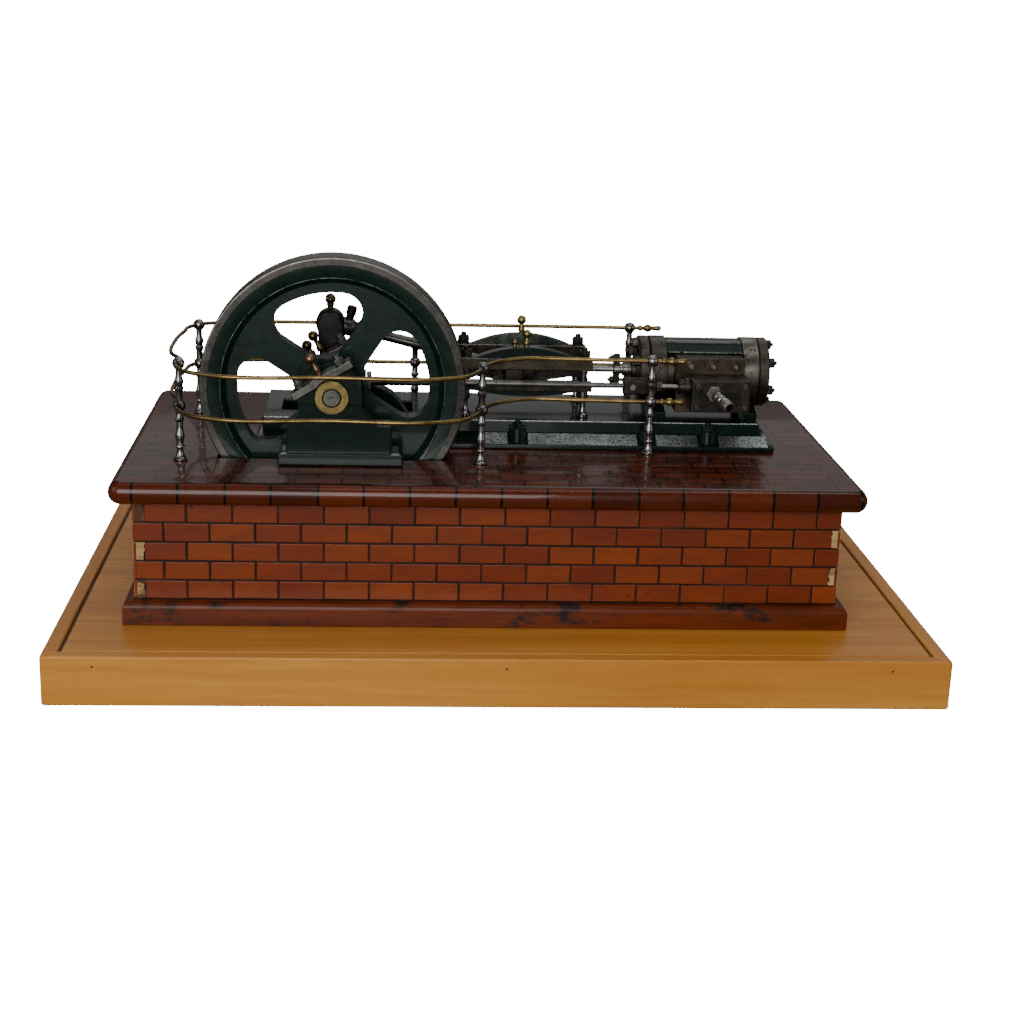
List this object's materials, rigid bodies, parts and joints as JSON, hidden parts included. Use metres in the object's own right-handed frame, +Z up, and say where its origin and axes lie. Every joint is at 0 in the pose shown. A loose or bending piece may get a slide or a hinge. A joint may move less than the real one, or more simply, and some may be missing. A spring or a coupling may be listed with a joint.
{
  "type": "model steam engine",
  "caption": "Horizontal single-cylinder model mill engine with flywheel, slide valve gear and railing, on a brick-patterned plinth and a wooden display base.",
  "frame": {"origin": "bottom centre of the display base", "axes": "+X along the engine from flywheel to cylinder, +Y away from the valve side, +Z up"},
  "size_m": [0.6, 0.386, 0.277],
  "materials": {
    "pine": "pale pine, satin varnish",
    "brick_varnish": "painted brick pattern under gloss varnish",
    "green_enamel": "dark green gloss enamel",
    "steel": "bright turned steel",
    "iron": "machined grey iron, oiled",
    "brass": "aged brass"
  },
  "bodies": {
    "root": {"base_edging": "pine", "base_panel": "pine", "plinth_front_panel": "brick_varnish", "plinth_back_panel": "brick_varnish", "plinth_left_panel": "brick_varnish", "plinth_right_panel": "brick_varnish", "plinth_skirting": "brick_varnish", "plinth_top": "brick_varnish", "upper_rail": "brass", "lower_rail": "brass", "post_front_left": "steel", "post_front_middle": "steel", "post_front_right": "steel", "post_back_left": "steel", "post_back_middle": "steel", "post_back_right": "steel", "bedplate": "green_enamel", "outboard_pedestal": "green_enamel", "outboard_bearing_cap": "steel", "main_bearing_cap": "steel", "outboard_bush": "brass", "main_bush": "brass", "outboard_oil_cup": "brass", "main_oil_cup": "brass", "steam_chest": "iron", "steam_chest_cover": "iron", "valve_rod_gland": "iron", "steam_inlet": "iron", "guide_front_upper": "green_enamel", "guide_front_lower": "green_enamel", "guide_back_upper": "green_enamel", "guide_back_lower": "green_enamel", "guide_pillar_front_left": "steel", "guide_pillar_front_right": "steel", "guide_pillar_back_left": "steel", "guide_pillar_back_right": "steel", "cylinder": "iron", "lagging": "green_enamel", "front_cover": "iron", "rear_cover": "iron", "piston_rod_gland": "iron"},
    "crankshaft": {"crankshaft": "steel", "crank_web": "iron", "flywheel": "green_enamel", "eccentric_sheave": "steel"},
    "eccentric": {"eccentric_strap": "iron", "eccentric_rod": "steel"},
    "crosshead": {"crosshead": "steel", "crosshead_pin": "steel", "piston_rod": "steel", "piston": "iron"},
    "connecting_rod": {"connecting_rod": "steel", "crank_pin": "steel", "big_end_oil_cup": "brass"},
    "valve": {"valve_rod": "iron", "slide_valve": "brass"}
  },
  "joints": [
    {"name": "crank_spin", "type": "hinge", "parent": "root", "child": "crankshaft", "pos_m": [-0.116, 0, 0.185], "axis": [0, 1, 0], "continuous": true},
    {"name": "eccentric_turn", "type": "hinge", "parent": "crankshaft", "child": "eccentric", "pos_m": [-0.12013, -0.03, 0.18321], "axis": [0, 1, 0], "continuous": true},
    {"name": "crosshead_slide", "type": "slide", "parent": "root", "child": "crosshead", "axis": [1, 0, 0], "range_m": [-0.02327, 0.03973]},
    {"name": "rod_swing", "type": "hinge", "parent": "crosshead", "child": "connecting_rod", "pos_m": [0.01316, 0.017, 0.185], "axis": [0, 1, 0], "range_deg": [-26.36, 0.15]},
    {"name": "valve_slide", "type": "slide", "parent": "root", "child": "valve", "axis": [1, 0, 0], "range_m": [-0.00037, 0.00863]}
  ],
  "couplings": [
    {"joint": "eccentric_turn", "follows": "crank_spin", "ratio": -1}
  ]
}
